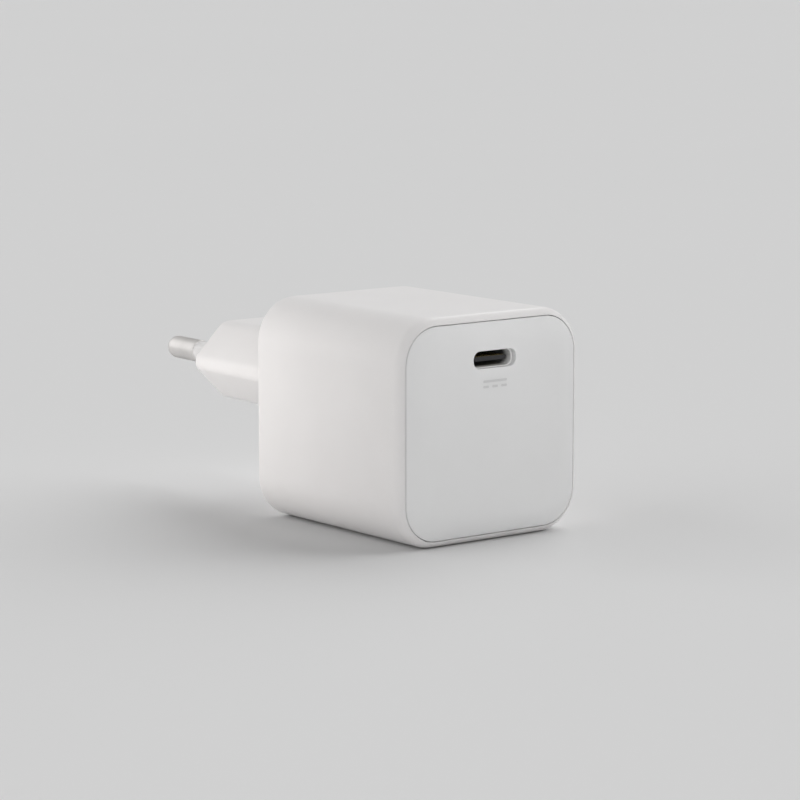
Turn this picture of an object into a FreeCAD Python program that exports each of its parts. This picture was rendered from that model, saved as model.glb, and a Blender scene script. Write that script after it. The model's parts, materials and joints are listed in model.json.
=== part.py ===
import FreeCAD, Part
import math
import os
import re
import Sketcher

# Mains power adapter: a rounded cube with a power port in front and a two-pin plug on its back.
# Frame: origin on the base below the cube's centre, +Z up, port towards -Y, plug towards +Y.
# Lengths are in millimetres and angles in degrees.

# Driving dimensions: they fill the sheet, one cell each, under these names.
SIZES = {
    # Housing: depth runs from the seam round the front panel to the back face.
    "body_width": 38.2,
    "body_height": 38.0,
    "body_depth": 39.85,
    "corner_round": 7.5,
    "edge_round": 2.16,
    "edge_slope": 27.0,
    "back_round": 0.8,
    "wall": 2.0,
    # Front panel: a crowned cover that sits on a ledge in the housing's mouth.
    "crown_round": 8.6,
    "seam_gap": 0.12,
    "panel_edge": 1.6,
    "lip_depth": 1.2,
    "lip_wall": 1.0,
    "lip_clearance": 0.1,
    # Power port: slot in the panel, shell, insulator and contacts.
    "port_drop": 7.45,
    "slot_width": 8.94,
    "slot_height": 2.9,
    "slot_round": 1.3,
    "slot_edge_round": 0.15,
    "port_skin": 1.0,
    "port_gap": 0.05,
    "port_clearance": 0.15,
    "shell_width": 8.94,
    "shell_height": 3.26,
    "shell_length": 8.0,
    "shell_round": 1.5,
    "shell_wall": 0.3,
    "leg_length": 1.0,
    "leg_setback": 4.2,
    "leg_spacing": 2.6,
    "insulator_base": 2.7,
    "insulator_fit": 0.03,
    "tongue_width": 6.69,
    "tongue_thickness": 0.7,
    "tongue_setback": 0.2,
    "tongue_round": 0.2,
    "contact_count": 12,
    "contact_pitch": 0.5,
    "contact_width": 0.25,
    "contact_length": 3.4,
    "contact_thickness": 0.05,
    "contact_setback": 0.4,
    # Plug nose: an eight-sided block, sized at its end face.
    "plug_drop": 13.3,
    "plug_width": 35.3,
    "plug_thickness": 13.7,
    "plug_chamfer": 5.95,
    "plug_length": 21.5,
    "plug_draft": 0.6,
    "plug_round": 1.8,
    "plug_shoulder_round": 3.2,
    "plug_end_round": 1.4,
    "plug_wall": 1.7,
    "plug_end_wall": 4.0,
    "boss_radius": 3.4,
    "boss_length": 3.0,
    # Plug pins: they lean towards each other, so their pitch is given at root and tip.
    "pitch_at_root": 18.6,
    "pitch_at_tip": 17.5,
    "pin_length": 19.0,
    "pin_radius": 2.0,
    "pin_core_radius": 1.5,
    "pin_tip_round": 1.5,
    "pin_shoulder": 0.3,
    "pin_tail": 4.0,
    "sleeve_radius": 1.8,
    "sleeve_length": 10.0,
    "sleeve_fit": 0.02,
    # Contact strips from the pins to the board.
    "strip_width": 4.0,
    "strip_thickness": 0.5,
    "strip_back_gap": 0.8,
    "strip_room": 0.7,
    "strip_overlap": 3.0,
    "strip_gap": 0.02,
    # Circuit board on its rails.
    "board_thickness": 1.2,
    "board_round": 1.0,
    "board_clearance": 0.4,
    "board_front_gap": 0.3,
    "board_back_gap": 0.5,
    "rail_reach": 0.9,
    "rail_height": 1.2,
    "lead_radius": 0.3,
    "lead_clearance": 0.15,
    "lead_stickout": 0.7,
    "part_gap": 0.5,
    # Capacitors, inductor and fuse under the board; the bulk and filter capacitors fill the room left.
    "can_round": 0.6,
    "bulk_length": 26.0,
    "bulk_lead_pitch": 5.0,
    "output_radius": 3.15,
    "output_length": 9.0,
    "output_lead_pitch": 2.5,
    "inductor_radius": 2.7,
    "inductor_length": 8.0,
    "inductor_lead_pitch": 3.0,
    "filter_depth": 5.0,
    "filter_length": 11.0,
    "filter_lead_inset": 1.25,
    "safety_width": 2.8,
    "safety_depth": 6.6,
    "safety_length": 7.4,
    "safety_lead_pitch": 5.0,
    "fuse_width": 8.4,
    "fuse_depth": 3.8,
    "fuse_length": 8.0,
    "fuse_lead_pitch": 5.0,
    "box_round": 0.7,
    # Transformer: bobbin on a round centre leg between two core halves that fill the room left.
    "core_plate": 2.4,
    "core_leg": 2.4,
    "core_window": 5.0,
    "core_board_gap": 0.3,
    "core_fit": 0.1,
    "bobbin_wall": 0.6,
    "bobbin_flange": 0.7,
    "bobbin_rail": 1.9,
    "bobbin_pin_edge": 1.5,
    "winding_fit": 0.05,
    "primary_build": 0.7,
    "secondary_build": 0.6,
    # Mains choke: a ring core on edge with two windings.
    "choke_radius": 4.6,
    "choke_bore_radius": 2.6,
    "choke_thickness": 3.6,
    "choke_wire": 0.8,
    "choke_span": 120.0,
    "choke_fit": 0.05,
    # Parts on top of the board.
    "chip_height": 1.0,
    "switch_width": 6.0,
    "switch_margin": 0.8,
    "sync_width": 5.0,
    "sync_depth": 6.0,
    "controller_width": 4.0,
    "rectifier_width": 5.0,
    "rectifier_depth": 4.6,
    "rectifier_height": 1.4,
    "coupler_width": 4.4,
    "coupler_depth": 2.6,
    "coupler_height": 1.9,
    "tab_width": 0.7,
    "tab_length": 0.8,
    "tab_thickness": 0.25,
    "chip_capacitor_count": 4,
    "chip_capacitor_pitch": 2.6,
    "chip_capacitor_width": 1.25,
    "chip_capacitor_length": 2.0,
    "spreader_thickness": 0.5,
    "spreader_margin": 0.6,
    "spreader_length": 24.0,
    "pad_margin": 0.4,
}

# Places and fits that follow from the sizes: they fill the sheet's next cells as formulas.
PLACES = {
    "back_face": "body_depth / 2",
    "seam_face": "0 - body_depth / 2",
    "seam_inset": "edge_round * (1 - sin(edge_slope))",
    "blank_face": "seam_face - edge_round * (1 - cos(edge_slope))",
    "front_face": "seam_face - crown_round * (1 - cos(edge_slope))",
    "crown_reach": "crown_round * (1 - sin(edge_slope))",
    "middle_height": "body_height / 2",
    "ledge_face": "seam_face + panel_edge",
    "mouth_width": "body_width - 2 * seam_inset",
    "mouth_height": "body_height - 2 * seam_inset",
    "mouth_round": "corner_round - seam_inset",
    "panel_width": "mouth_width - 2 * seam_gap",
    "panel_height": "mouth_height - 2 * seam_gap",
    "panel_round": "mouth_round - seam_gap",
    "cavity_width": "body_width - 2 * wall",
    "cavity_height": "body_height - 2 * wall",
    "cavity_round": "corner_round - wall",
    "cavity_back": "back_face - wall",
    "ceiling": "body_height - wall",
    "plug_height": "body_height - plug_drop",
    "plug_flat": "plug_width - 2 * plug_chamfer",
    "plug_end": "back_face + plug_length",
    "nose_back": "plug_end - plug_end_wall",
    "pin_lean": "atan((pitch_at_root - pitch_at_tip) / 2 / pin_length)",
    "pin_embed": "plug_end_wall + boss_length",
    "port_height": "body_height - port_drop",
    "port_front": "front_face + port_skin + port_gap",
    "port_back": "port_front + shell_length",
    "board_bottom": "port_height + shell_height / 2",
    "board_top": "board_bottom + board_thickness",
    "lip_back": "ledge_face + lip_depth",
    "board_front": "lip_back + board_front_gap",
    "board_back": "cavity_back - board_back_gap",
    "corner_rise": "max(0; board_top - ceiling + cavity_round)",
    "corner_half": "sqrt(cavity_round ^ 2 - corner_rise ^ 2)",
    "board_half": "cavity_width / 2 - cavity_round + corner_half - board_clearance",
    "rail_side": "board_half - rail_reach",
    "part_side": "rail_side - part_gap",
    "lead_length": "board_thickness + lead_stickout",
    "strip_x": "pitch_at_root / 2 + pin_embed * tan(pin_lean)",
    "strip_front": "cavity_back - strip_back_gap - strip_thickness",
    "strip_end": "nose_back - boss_length - pin_tail + strip_overlap",
    "strip_bottom": "plug_height + pin_core_radius + strip_gap",
    "part_back": "strip_front - strip_room",
    "output_x": "part_side - output_radius",
    "output_y": "board_front + part_gap + output_radius",
    "output_back": "output_y + output_radius",
    "fuse_x": "part_side - fuse_width / 2",
    "fuse_y": "part_back - fuse_depth / 2",
    "bulk_radius": "(part_back - fuse_depth - output_back - 3 * part_gap) / 4",
    "bulk_x": "part_side - bulk_radius",
    "bulk_front_y": "output_back + part_gap + bulk_radius",
    "bulk_back_y": "bulk_front_y + 2 * bulk_radius + part_gap",
    "bulk_side": "bulk_x - bulk_radius - part_gap",
    "choke_outer": "choke_radius + choke_wire",
    "choke_depth": "choke_thickness + 2 * choke_wire",
    "choke_x": "choke_outer - part_side",
    "choke_y": "part_back - choke_depth / 2",
    "choke_z": "board_bottom - part_gap - choke_outer",
    "inductor_x": "bulk_side - inductor_radius",
    "inductor_y": "filter_y",
    "filter_width": "bulk_side - 2 * inductor_radius - part_gap + part_side",
    "filter_lead_pitch": "filter_width - 2 * filter_lead_inset",
    "filter_x": "filter_width / 2 - part_side",
    "filter_y": "part_back - choke_depth - part_gap - filter_depth / 2",
    "core_side": "bulk_side - safety_width - part_gap",
    "core_width": "core_side + part_side",
    "core_x": "core_width / 2 - part_side",
    "core_front": "max(port_back; output_back) + part_gap",
    "core_back": "filter_y - filter_depth / 2 - part_gap",
    "rail_room": "core_fit + bobbin_rail",
    "core_depth": "core_back - core_front - 2 * rail_room",
    "core_y": "(core_front + core_back) / 2",
    "core_top": "board_bottom - core_board_gap",
    "core_height": "2 * core_plate + 2 * core_window",
    "core_middle": "core_top - core_plate - core_window",
    "coil_build": "core_fit + bobbin_wall + primary_build + secondary_build + 2 * winding_fit",
    "coil_radius": "min(core_width / 2 - core_leg - core_fit; core_depth / 2 + rail_room)",
    "core_centre_radius": "coil_radius - coil_build",
    "bobbin_pin_pitch": "(core_width - 2 * bobbin_pin_edge) / 3",
    "safety_x": "core_side + part_gap + safety_width / 2",
    "safety_y": "core_y - core_depth / 2 + safety_depth / 2",
    "switch_depth": "core_depth - 2 * switch_margin",
    "switch_x": "core_side - switch_width / 2",
    "sync_x": "sync_width / 2 - part_side",
    "rectifier_x": "(choke_x + choke_outer + fuse_x - fuse_lead_pitch / 2) / 2",
    "rectifier_y": "board_back - part_gap - rectifier_depth / 2",
    "coupler_x": "core_side + part_gap + tab_length + coupler_width / 2",
    "coupler_y": "safety_y + safety_lead_pitch / 2 + lead_radius + part_gap + coupler_depth / 2",
    "controller_y": "board_front + part_gap + controller_width / 2",
    "spreader_bottom": "ceiling - spreader_thickness",
    "spreader_y": "board_front + part_gap + spreader_length / 2",
}

# The document, its sheet of sizes and a gauge that reads what a formula comes to.
document = FreeCAD.newDocument("power_adapter")
sheet = document.addObject("Spreadsheet::Sheet", "Sizes")
gauge = document.addObject("App::FeaturePython", "Gauge")
gauge.addProperty("App::PropertyFloat", "Reading")

# Places of the wire leads that pass through the board, as pairs of formulas.
lead_places = []

# The plug's two sides, each with the factor that puts a formula on that side.
SIDES = {"left": "-1 * ", "right": "1 * "}
UP = FreeCAD.Vector(0, 0, 1)
NUDGE = 0.01


def fill_sheet():
    """Write every driving dimension, and every place as a formula, into its own named cell."""
    cells = dict(SIZES)
    for name, text in PLACES.items():
        cells[name] = f"={text}"
    for row, name in enumerate(cells, 1):
        sheet.set(f"A{row}", name)
        sheet.setAlias(f"B{row}", name)
    for row, content in enumerate(cells.values(), 1):
        sheet.set(f"B{row}", str(content))
    document.recompute()


def formula(text):
    """Point the names in a formula at their cells."""

    def point(match):
        word = match.group(0)
        if word in SIZES or word in PLACES:
            return f"Sizes.{word}"
        return word

    return re.sub(r"[a-z][a-z_]*", point, text)


def read(text):
    """Return the number that a formula comes to."""
    gauge.setExpression("Reading", formula(text))
    gauge.recompute()
    return gauge.Reading


def bind(target, **formulas):
    """Bind an object's properties to formulas; two underscores stand for a dot."""
    for name, text in formulas.items():
        target.setExpression(name.replace("__", "."), formula(text))


def new_body(label):
    """Start a sub-part that is built from sketches."""
    body = document.addObject("PartDesign::Body", label)
    body.Label = label
    return body


def sketch_on(body, role, offset):
    """Start a sketch on a plane of the body's origin, moved along the plane's normal."""
    sketch = body.newObject("Sketcher::SketchObject", "Outline")
    plane = next(feature for feature in body.Origin.OriginFeatures if feature.Role == role)
    sketch.AttachmentSupport = (plane, [""])
    sketch.MapMode = "FlatFace"
    bind(sketch, AttachmentOffset__Base__z=offset)
    return sketch


def upright_sketch(body, depth):
    """Start a sketch that faces the front, at a place along Y."""
    return sketch_on(body, "XZ_Plane", f"0 - ({depth})")


def level_sketch(body, height):
    """Start a sketch that faces up, at a height."""
    return sketch_on(body, "XY_Plane", height)


def hold(sketch, kind, *where, at):
    """Add a driving constraint and bind it to a formula."""
    index = sketch.addConstraint(Sketcher.Constraint(kind, *where, read(at)))
    sketch.setExpression(f"Constraints[{index}]", formula(at))


def hold_point(sketch, shape, point, across, along):
    """Fix a point of a sketch at its distances from the sketch's origin."""
    hold(sketch, "DistanceX", -1, 1, shape, point, at=across)
    hold(sketch, "DistanceY", -1, 1, shape, point, at=along)


def polygon(sketch, points):
    """Draw a closed outline of straight lines through points given as formulas."""
    corners = [FreeCAD.Vector(read(across), read(along), 0) for across, along in points]
    first = sketch.GeometryCount
    count = len(points)
    for index in range(count):
        sketch.addGeometry(Part.LineSegment(corners[index], corners[(index + 1) % count]))
    for index in range(count):
        following = first + (index + 1) % count
        sketch.addConstraint(Sketcher.Constraint("Coincident", first + index, 2, following, 1))
    for index, (across, along) in enumerate(points):
        hold_point(sketch, first + index, 1, across, along)


def rectangle(sketch, left, right, low, high):
    """Draw a rectangle between two places across and two along."""
    polygon(sketch, [(left, low), (right, low), (right, high), (left, high)])


def circle(sketch, across, along, radius):
    """Draw a circle."""
    centre = FreeCAD.Vector(read(across), read(along), 0)
    shape = sketch.addGeometry(Part.Circle(centre, UP, read(radius)))
    hold_point(sketch, shape, 3, across, along)
    hold(sketch, "Radius", shape, at=radius)


def rounded_rectangle(sketch, width, height, corner, across="0", along="0"):
    """Draw a rectangle with round corners about a centre."""
    radius = read(corner)
    reach_x = read(width) / 2 - radius
    reach_y = read(height) / 2 - radius
    middle = FreeCAD.Vector(read(across), read(along), 0)
    arcs = []
    for turn, (side_x, side_y) in enumerate([(1, 1), (-1, 1), (-1, -1), (1, -1)]):
        centre = middle + FreeCAD.Vector(side_x * reach_x, side_y * reach_y, 0)
        start = turn * math.pi / 2
        arc = Part.ArcOfCircle(Part.Circle(centre, UP, radius), start, start + math.pi / 2)
        arcs.append(sketch.addGeometry(arc))
    for turn, arc in enumerate(arcs):
        following = arcs[(turn + 1) % 4]
        begin = sketch.Geometry[arc].EndPoint
        end = sketch.Geometry[following].StartPoint
        line = sketch.addGeometry(Part.LineSegment(begin, end))
        sketch.addConstraint(Sketcher.Constraint("Tangent", arc, 2, line, 1))
        sketch.addConstraint(Sketcher.Constraint("Tangent", line, 2, following, 1))
        sketch.addConstraint(Sketcher.Constraint("Vertical" if turn % 2 else "Horizontal", line))
    for arc in arcs[1:]:
        sketch.addConstraint(Sketcher.Constraint("Equal", arcs[0], arc))
    hold(sketch, "Radius", arcs[0], at=corner)
    half_x = f"(({width}) / 2 - ({corner}))"
    half_y = f"(({height}) / 2 - ({corner}))"
    hold_point(sketch, arcs[0], 3, f"{across} + {half_x}", f"{along} + {half_y}")
    hold_point(sketch, arcs[2], 3, f"{across} - {half_x}", f"{along} - {half_y}")


def octagon(sketch, inset):
    """Draw the plug nose's eight-sided section, moved inwards by an inset."""
    half_width = f"plug_width / 2 - ({inset})"
    half_thickness = f"plug_thickness / 2 - ({inset})"
    half_flat = f"plug_flat / 2 - ({inset}) * tan(22.5)"
    half_side = f"plug_thickness / 2 - plug_chamfer - ({inset}) * tan(22.5)"
    quarter = [(half_width, half_side), (half_flat, half_thickness)]
    right_up = [(x, f"plug_height + ({z})") for x, z in quarter]
    left_up = [(f"0 - ({x})", f"plug_height + ({z})") for x, z in reversed(quarter)]
    left_down = [(f"0 - ({x})", f"plug_height - ({z})") for x, z in quarter]
    right_down = [(x, f"plug_height - ({z})") for x, z in reversed(quarter)]
    polygon(sketch, right_up + left_up + left_down + right_down)


def feature_from(sketch, kind, **formulas):
    """Add a feature made from a sketch to the sketch's body."""
    feature = sketch.getParentGeoFeatureGroup().newObject(f"PartDesign::{kind}", kind)
    feature.Profile = sketch
    bind(feature, **formulas)
    return feature


def pad(sketch, length, reverse=False, taper="0"):
    """Raise a sketch along its normal, or against it when reversed."""
    feature = feature_from(sketch, "Pad", Length=length, TaperAngle=taper)
    feature.Reversed = reverse
    document.recompute()
    return feature


def pocket(sketch, length):
    """Cut a sketch into the solid against its normal, and make sure that it cuts."""
    before = sketch.getParentGeoFeatureGroup().Shape.Volume
    feature = feature_from(sketch, "Pocket", Length=length)
    document.recompute()
    if feature.Shape.Volume >= before:
        raise RuntimeError(f"a pocket of {feature.getParentGeoFeatureGroup().Label} cuts nothing")
    return feature


def turn(sketch, kind="Revolution"):
    """Turn a sketch about its upright axis, as a solid or as a groove."""
    feature = feature_from(sketch, kind)
    feature.ReferenceAxis = (sketch, ["V_Axis"])
    feature.Angle = 360
    document.recompute()
    return feature


def round_edges(base, radius, chosen):
    """Round the edges of a feature whose bounding box passes a test."""
    names = []
    for number, edge in enumerate(base.Shape.Edges, 1):
        if chosen(edge.BoundBox):
            names.append(f"Edge{number}")
    feature = base.getParentGeoFeatureGroup().newObject("PartDesign::Fillet", "Fillet")
    feature.Base = (base, names)
    bind(feature, Radius=radius)
    document.recompute()
    return feature


def flat_at(axis, place):
    """Return a test for edges that lie whole in the plane where an axis has a given place."""
    level = read(place)

    def lies_there(box):
        low = getattr(box, f"{axis}Min")
        high = getattr(box, f"{axis}Max")
        return abs(low - level) < NUDGE and abs(high - level) < NUDGE

    return lies_there


def box(x, y, z, width, depth, height):
    """Make a plain block from its lowest corner and its sizes."""
    block = document.addObject("Part::Box", "Block")
    bind(block, Length=width, Width=depth, Height=height)
    bind(block, Placement__Base__x=x, Placement__Base__y=y, Placement__Base__z=z)
    return block


def centred_box(x, y, z, width, depth, height):
    """Make a plain block that stands centred at a place."""
    return box(f"{x} - ({width}) / 2", f"{y} - ({depth}) / 2", z, width, depth, height)


def cylinder(x, y, z, radius, height):
    """Make an upright cylinder from the centre of its lower face."""
    rod = document.addObject("Part::Cylinder", "Rod")
    bind(rod, Radius=radius, Height=height)
    bind(rod, Placement__Base__x=x, Placement__Base__y=y, Placement__Base__z=z)
    return rod


def lead(x, y, height):
    """Make a wire lead that passes up through the board from a height below it."""
    lead_places.append((x, y))
    return cylinder(x, y, height, "lead_radius", f"board_top + lead_stickout - ({height})")


def joined(label, shapes, kind="Part::MultiFuse"):
    """Join shapes into one sub-part, as one solid or as a group of solids."""
    whole = document.addObject(kind, label)
    if kind == "Part::Compound":
        whole.Links = shapes
    else:
        whole.Shapes = shapes
    whole.Label = label
    document.recompute()
    return whole


def cut(base, tool, label="Cut"):
    """Cut one shape away from another."""
    rest = document.addObject("Part::Cut", label)
    rest.Base = base
    rest.Tool = tool
    rest.Label = label
    document.recompute()
    return rest


def housing_shell():
    """Moulded cup with a rounded front edge, the plug nose and the rails for the board."""
    body = new_body("housing_shell")

    outline = upright_sketch(body, "blank_face")
    rounded_rectangle(outline, "body_width", "body_height", "corner_round", along="middle_height")
    block = pad(outline, "back_face - blank_face", reverse=True)
    block = round_edges(block, "edge_round", flat_at("Y", "blank_face"))
    round_edges(block, "back_round", flat_at("Y", "back_face"))

    nose = upright_sketch(body, "plug_end")
    octagon(nose, "0")
    block = pad(nose, "plug_length + wall / 2", taper="plug_draft")
    root = read("back_face") - NUDGE
    reach = read("plug_length") - NUDGE
    bend = read("(plug_width - plug_chamfer) / 2")
    for radius, at_side in (("plug_shoulder_round", False), ("plug_round", True)):
        block = round_edges(
            block,
            radius,
            lambda edge: edge.YMin > root and edge.YLength > reach and (abs(edge.XMin) > bend) == at_side,
        )
    round_edges(block, "plug_end_round", flat_at("Y", "plug_end"))

    mouth = upright_sketch(body, "front_face")
    rounded_rectangle(mouth, "mouth_width", "mouth_height", "mouth_round", along="middle_height")
    pocket(mouth, "ledge_face - front_face")
    cavity = upright_sketch(body, "ledge_face")
    rounded_rectangle(cavity, "cavity_width", "cavity_height", "cavity_round", along="middle_height")
    pocket(cavity, "cavity_back - ledge_face")
    hollow = upright_sketch(body, "cavity_back")
    octagon(hollow, "plug_wall")
    pocket(hollow, "nose_back - cavity_back")

    bosses = upright_sketch(body, "nose_back")
    for side in SIDES.values():
        circle(bosses, f"{side}pitch_at_root / 2", "plug_height", "boss_radius")
    pad(bosses, "boss_length")
    for side in SIDES.values():
        hole = level_sketch(body, "plug_height")
        bind(hole, AttachmentOffset__Base__x=f"{side}pitch_at_root / 2")
        bind(hole, AttachmentOffset__Base__y="plug_end")
        bind(hole, AttachmentOffset__Rotation__Angle=f"{side}pin_lean")
        rectangle(hole, "0", "sleeve_radius + sleeve_fit", "0 - pin_embed - wall", "wall")
        turn(hole, "Groove")

    rails = upright_sketch(body, "board_front")
    outer = "body_width / 2 - wall / 2"
    low = "board_bottom - rail_height"
    rectangle(rails, "rail_side", outer, low, "board_bottom")
    rectangle(rails, f"0 - ({outer})", "0 - rail_side", low, "board_bottom")
    pad(rails, "cavity_back + wall / 2 - board_front", reverse=True)
    return body


def front_panel():
    """Crowned cover with a locating lip, the port's slot and a pocket for the port's shell."""
    body = new_body("front_panel")
    blank_depth = "crown_round + panel_edge"

    blank = upright_sketch(body, "front_face")
    rounded_rectangle(
        blank,
        "panel_width + 2 * crown_reach",
        "panel_height + 2 * crown_reach",
        "panel_round + crown_reach",
        along="middle_height",
    )
    solid = pad(blank, blank_depth, reverse=True)
    round_edges(solid, "crown_round", flat_at("Y", "front_face"))

    trim = upright_sketch(body, "front_face - wall")
    rectangle(trim, "0 - body_width", "body_width", "0 - body_height", "2 * body_height")
    rounded_rectangle(trim, "panel_width", "panel_height", "panel_round", along="middle_height")
    pocket(trim, f"{blank_depth} + 2 * wall")
    back = upright_sketch(body, "ledge_face")
    rectangle(back, "0 - body_width", "body_width", "0 - body_height", "2 * body_height")
    pocket(back, blank_depth)

    lip = upright_sketch(body, "ledge_face")
    for inset in ("lip_clearance", "(lip_clearance + lip_wall)"):
        rounded_rectangle(
            lip,
            f"cavity_width - 2 * {inset}",
            f"cavity_height - 2 * {inset}",
            f"cavity_round - {inset}",
            along="middle_height",
        )
    pad(lip, "lip_depth", reverse=True)

    slot = upright_sketch(body, "front_face - wall")
    rounded_rectangle(slot, "slot_width", "slot_height", "slot_round", along="port_height")
    opened = pocket(slot, "ledge_face - front_face + 2 * wall")
    half = read("slot_width") / 2 + NUDGE
    on_front = flat_at("Y", "front_face")
    round_edges(opened, "slot_edge_round", lambda edge: on_front(edge) and edge.XMax < half)
    seat = upright_sketch(body, "front_face + port_skin")
    rounded_rectangle(
        seat,
        "shell_width + 2 * port_clearance",
        "shell_height + 2 * port_clearance",
        "shell_round + port_clearance",
        along="port_height",
    )
    pocket(seat, "ledge_face + lip_depth - front_face")
    return body


def plug_pin(label, side):
    """Turned metal pin: tail and slim core inside, full size beyond the sleeve, rounded tip."""
    body = new_body(label)
    profile = level_sketch(body, "0")
    tail = "0 - pin_embed - pin_tail"
    shoulder = "sleeve_length + pin_shoulder"
    points = [
        ("0", tail),
        ("pin_core_radius", tail),
        ("pin_core_radius", "sleeve_length"),
        ("sleeve_radius", "sleeve_length"),
        ("pin_radius", shoulder),
        ("pin_radius", "pin_length"),
        ("0", "pin_length"),
    ]
    polygon(profile, points)
    shaft = turn(profile)
    round_edges(shaft, "pin_tip_round", flat_at("Y", "pin_length"))
    place_on_plug(body, side)
    return body


def pin_sleeve(label, side):
    """Insulating tube round a pin's core, moulded into the nose."""
    body = new_body(label)
    profile = level_sketch(body, "0")
    bore = "pin_core_radius + sleeve_fit"
    rectangle(profile, bore, "sleeve_radius", "0 - pin_embed", "sleeve_length - sleeve_fit")
    turn(profile)
    place_on_plug(body, side)
    return body


def place_on_plug(body, side):
    """Set a turned piece on the plug's end face, leaning towards the middle."""
    bind(body, Placement__Base__x=f"{side}pitch_at_root / 2")
    bind(body, Placement__Base__y="plug_end", Placement__Base__z="plug_height")
    bind(body, Placement__Rotation__Angle=f"{side}pin_lean")


def contact_strip(label, side):
    """Bent spring strip that lies on a pin's tail and rises to the board."""
    left = f"{side}strip_x - strip_width / 2"
    depth = "strip_end - strip_front"
    rise = "board_bottom - strip_bottom"
    arm = box(left, "strip_front", "strip_bottom", "strip_width", depth, "strip_thickness")
    post = box(left, "strip_front", "strip_bottom", "strip_width", "strip_thickness", rise)
    return joined(label, [arm, post])


def port_shell():
    """Drawn metal shell of the power port, with four legs through the board."""
    body = new_body("port_shell")
    outer = upright_sketch(body, "port_front")
    rounded_rectangle(outer, "shell_width", "shell_height", "shell_round", along="port_height")
    pad(outer, "shell_length", reverse=True)
    legs = level_sketch(body, "port_height")
    for left, right, low, high in leg_places("0"):
        rectangle(legs, left, right, low, high)
    pad(legs, "board_top + lead_stickout - port_height")
    inner = upright_sketch(body, "port_front")
    rounded_rectangle(
        inner,
        "shell_width - 2 * shell_wall",
        "shell_height - 2 * shell_wall",
        "shell_round - shell_wall",
        along="port_height",
    )
    pocket(inner, "shell_length")
    return body


def leg_places(room):
    """Return the plan of the four shell legs, as formulas, with room added all round."""
    places = []
    far = f"shell_width / 2 + {room}"
    near = f"shell_width / 2 - shell_wall - {room}"
    for row in ("0", "leg_spacing"):
        low = f"port_front + leg_setback + {row} - {room}"
        high = f"port_front + leg_setback + {row} + leg_length + {room}"
        places.append((near, far, low, high))
        places.append((f"0 - ({far})", f"0 - ({near})", low, high))
    return places


def port_insulator():
    """Moulded base that fills the back of the port's shell, with the flat tongue."""
    body = new_body("port_insulator")
    inset = "(shell_wall + insulator_fit)"
    base = upright_sketch(body, "port_back - insulator_base")
    rounded_rectangle(
        base,
        f"shell_width - 2 * {inset}",
        f"shell_height - 2 * {inset}",
        f"shell_round - {inset}",
        along="port_height",
    )
    pad(base, "insulator_base", reverse=True)
    tongue = upright_sketch(body, "port_front + tongue_setback")
    rounded_rectangle(tongue, "tongue_width", "tongue_thickness", "tongue_round", along="port_height")
    pad(tongue, "shell_length - tongue_setback - insulator_base / 2", reverse=True)
    return body


def port_contacts():
    """Two rows of flat contacts on the tongue's faces."""
    pads = []
    count = int(read("contact_count"))
    front = "port_front + tongue_setback + contact_setback"
    upper = "port_height + tongue_thickness / 2"
    lower = "port_height - tongue_thickness / 2 - contact_thickness"
    for height in (upper, lower):
        for index in range(count):
            x = f"({index} - (contact_count - 1) / 2) * contact_pitch - contact_width / 2"
            pads.append(box(x, front, height, "contact_width", "contact_length", "contact_thickness"))
    return joined("port_contacts", pads, "Part::Compound")


def hanging_part(label, draw, length, corner, x, y, pitch, along_y=False):
    """Part that hangs from the board: a drawn section, its rounded foot and two leads."""
    body = new_body(label)
    section = level_sketch(body, "board_bottom")
    draw(section)
    solid = pad(section, length, reverse=True)
    round_edges(solid, corner, flat_at("Z", f"board_bottom - ({length})"))
    leads = level_sketch(body, "board_bottom")
    for side in ("-", "+"):
        place = (x, f"{y} {side} {pitch} / 2") if along_y else (f"{x} {side} {pitch} / 2", y)
        lead_places.append(place)
        circle(leads, *place, "lead_radius")
    pad(leads, "lead_length")
    return body


def hanging_can(label, name, x, y):
    """Round part under the board, with sizes that share a name."""
    return hanging_part(
        label,
        lambda sketch: circle(sketch, x, y, f"{name}_radius"),
        f"{name}_length",
        "can_round",
        x,
        y,
        f"{name}_lead_pitch",
    )


def hanging_box(label, name, along_y=False):
    """Box-shaped part under the board, with sizes and a place that share a name."""
    x = f"{name}_x"
    y = f"{name}_y"
    return hanging_part(
        label,
        lambda sketch: rounded_rectangle(sketch, f"{name}_width", f"{name}_depth", "box_round", x, y),
        f"{name}_length",
        "box_round / 2",
        x,
        y,
        f"{name}_lead_pitch",
        along_y,
    )


def transformer_core(label, plate_bottom, leg_bottom):
    """Ferrite half: a plate with two outer legs and a round centre leg."""
    plate = centred_box("core_x", "core_y", plate_bottom, "core_width", "core_depth", "core_plate")
    centre = cylinder("core_x", "core_y", leg_bottom, "core_centre_radius", "core_window")
    legs = []
    for left in ("core_x - core_width / 2", "core_x + core_width / 2 - core_leg"):
        front = "core_y - core_depth / 2"
        legs.append(box(left, front, leg_bottom, "core_leg", "core_depth", "core_window"))
    return joined(label, [plate, centre] + legs)


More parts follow.
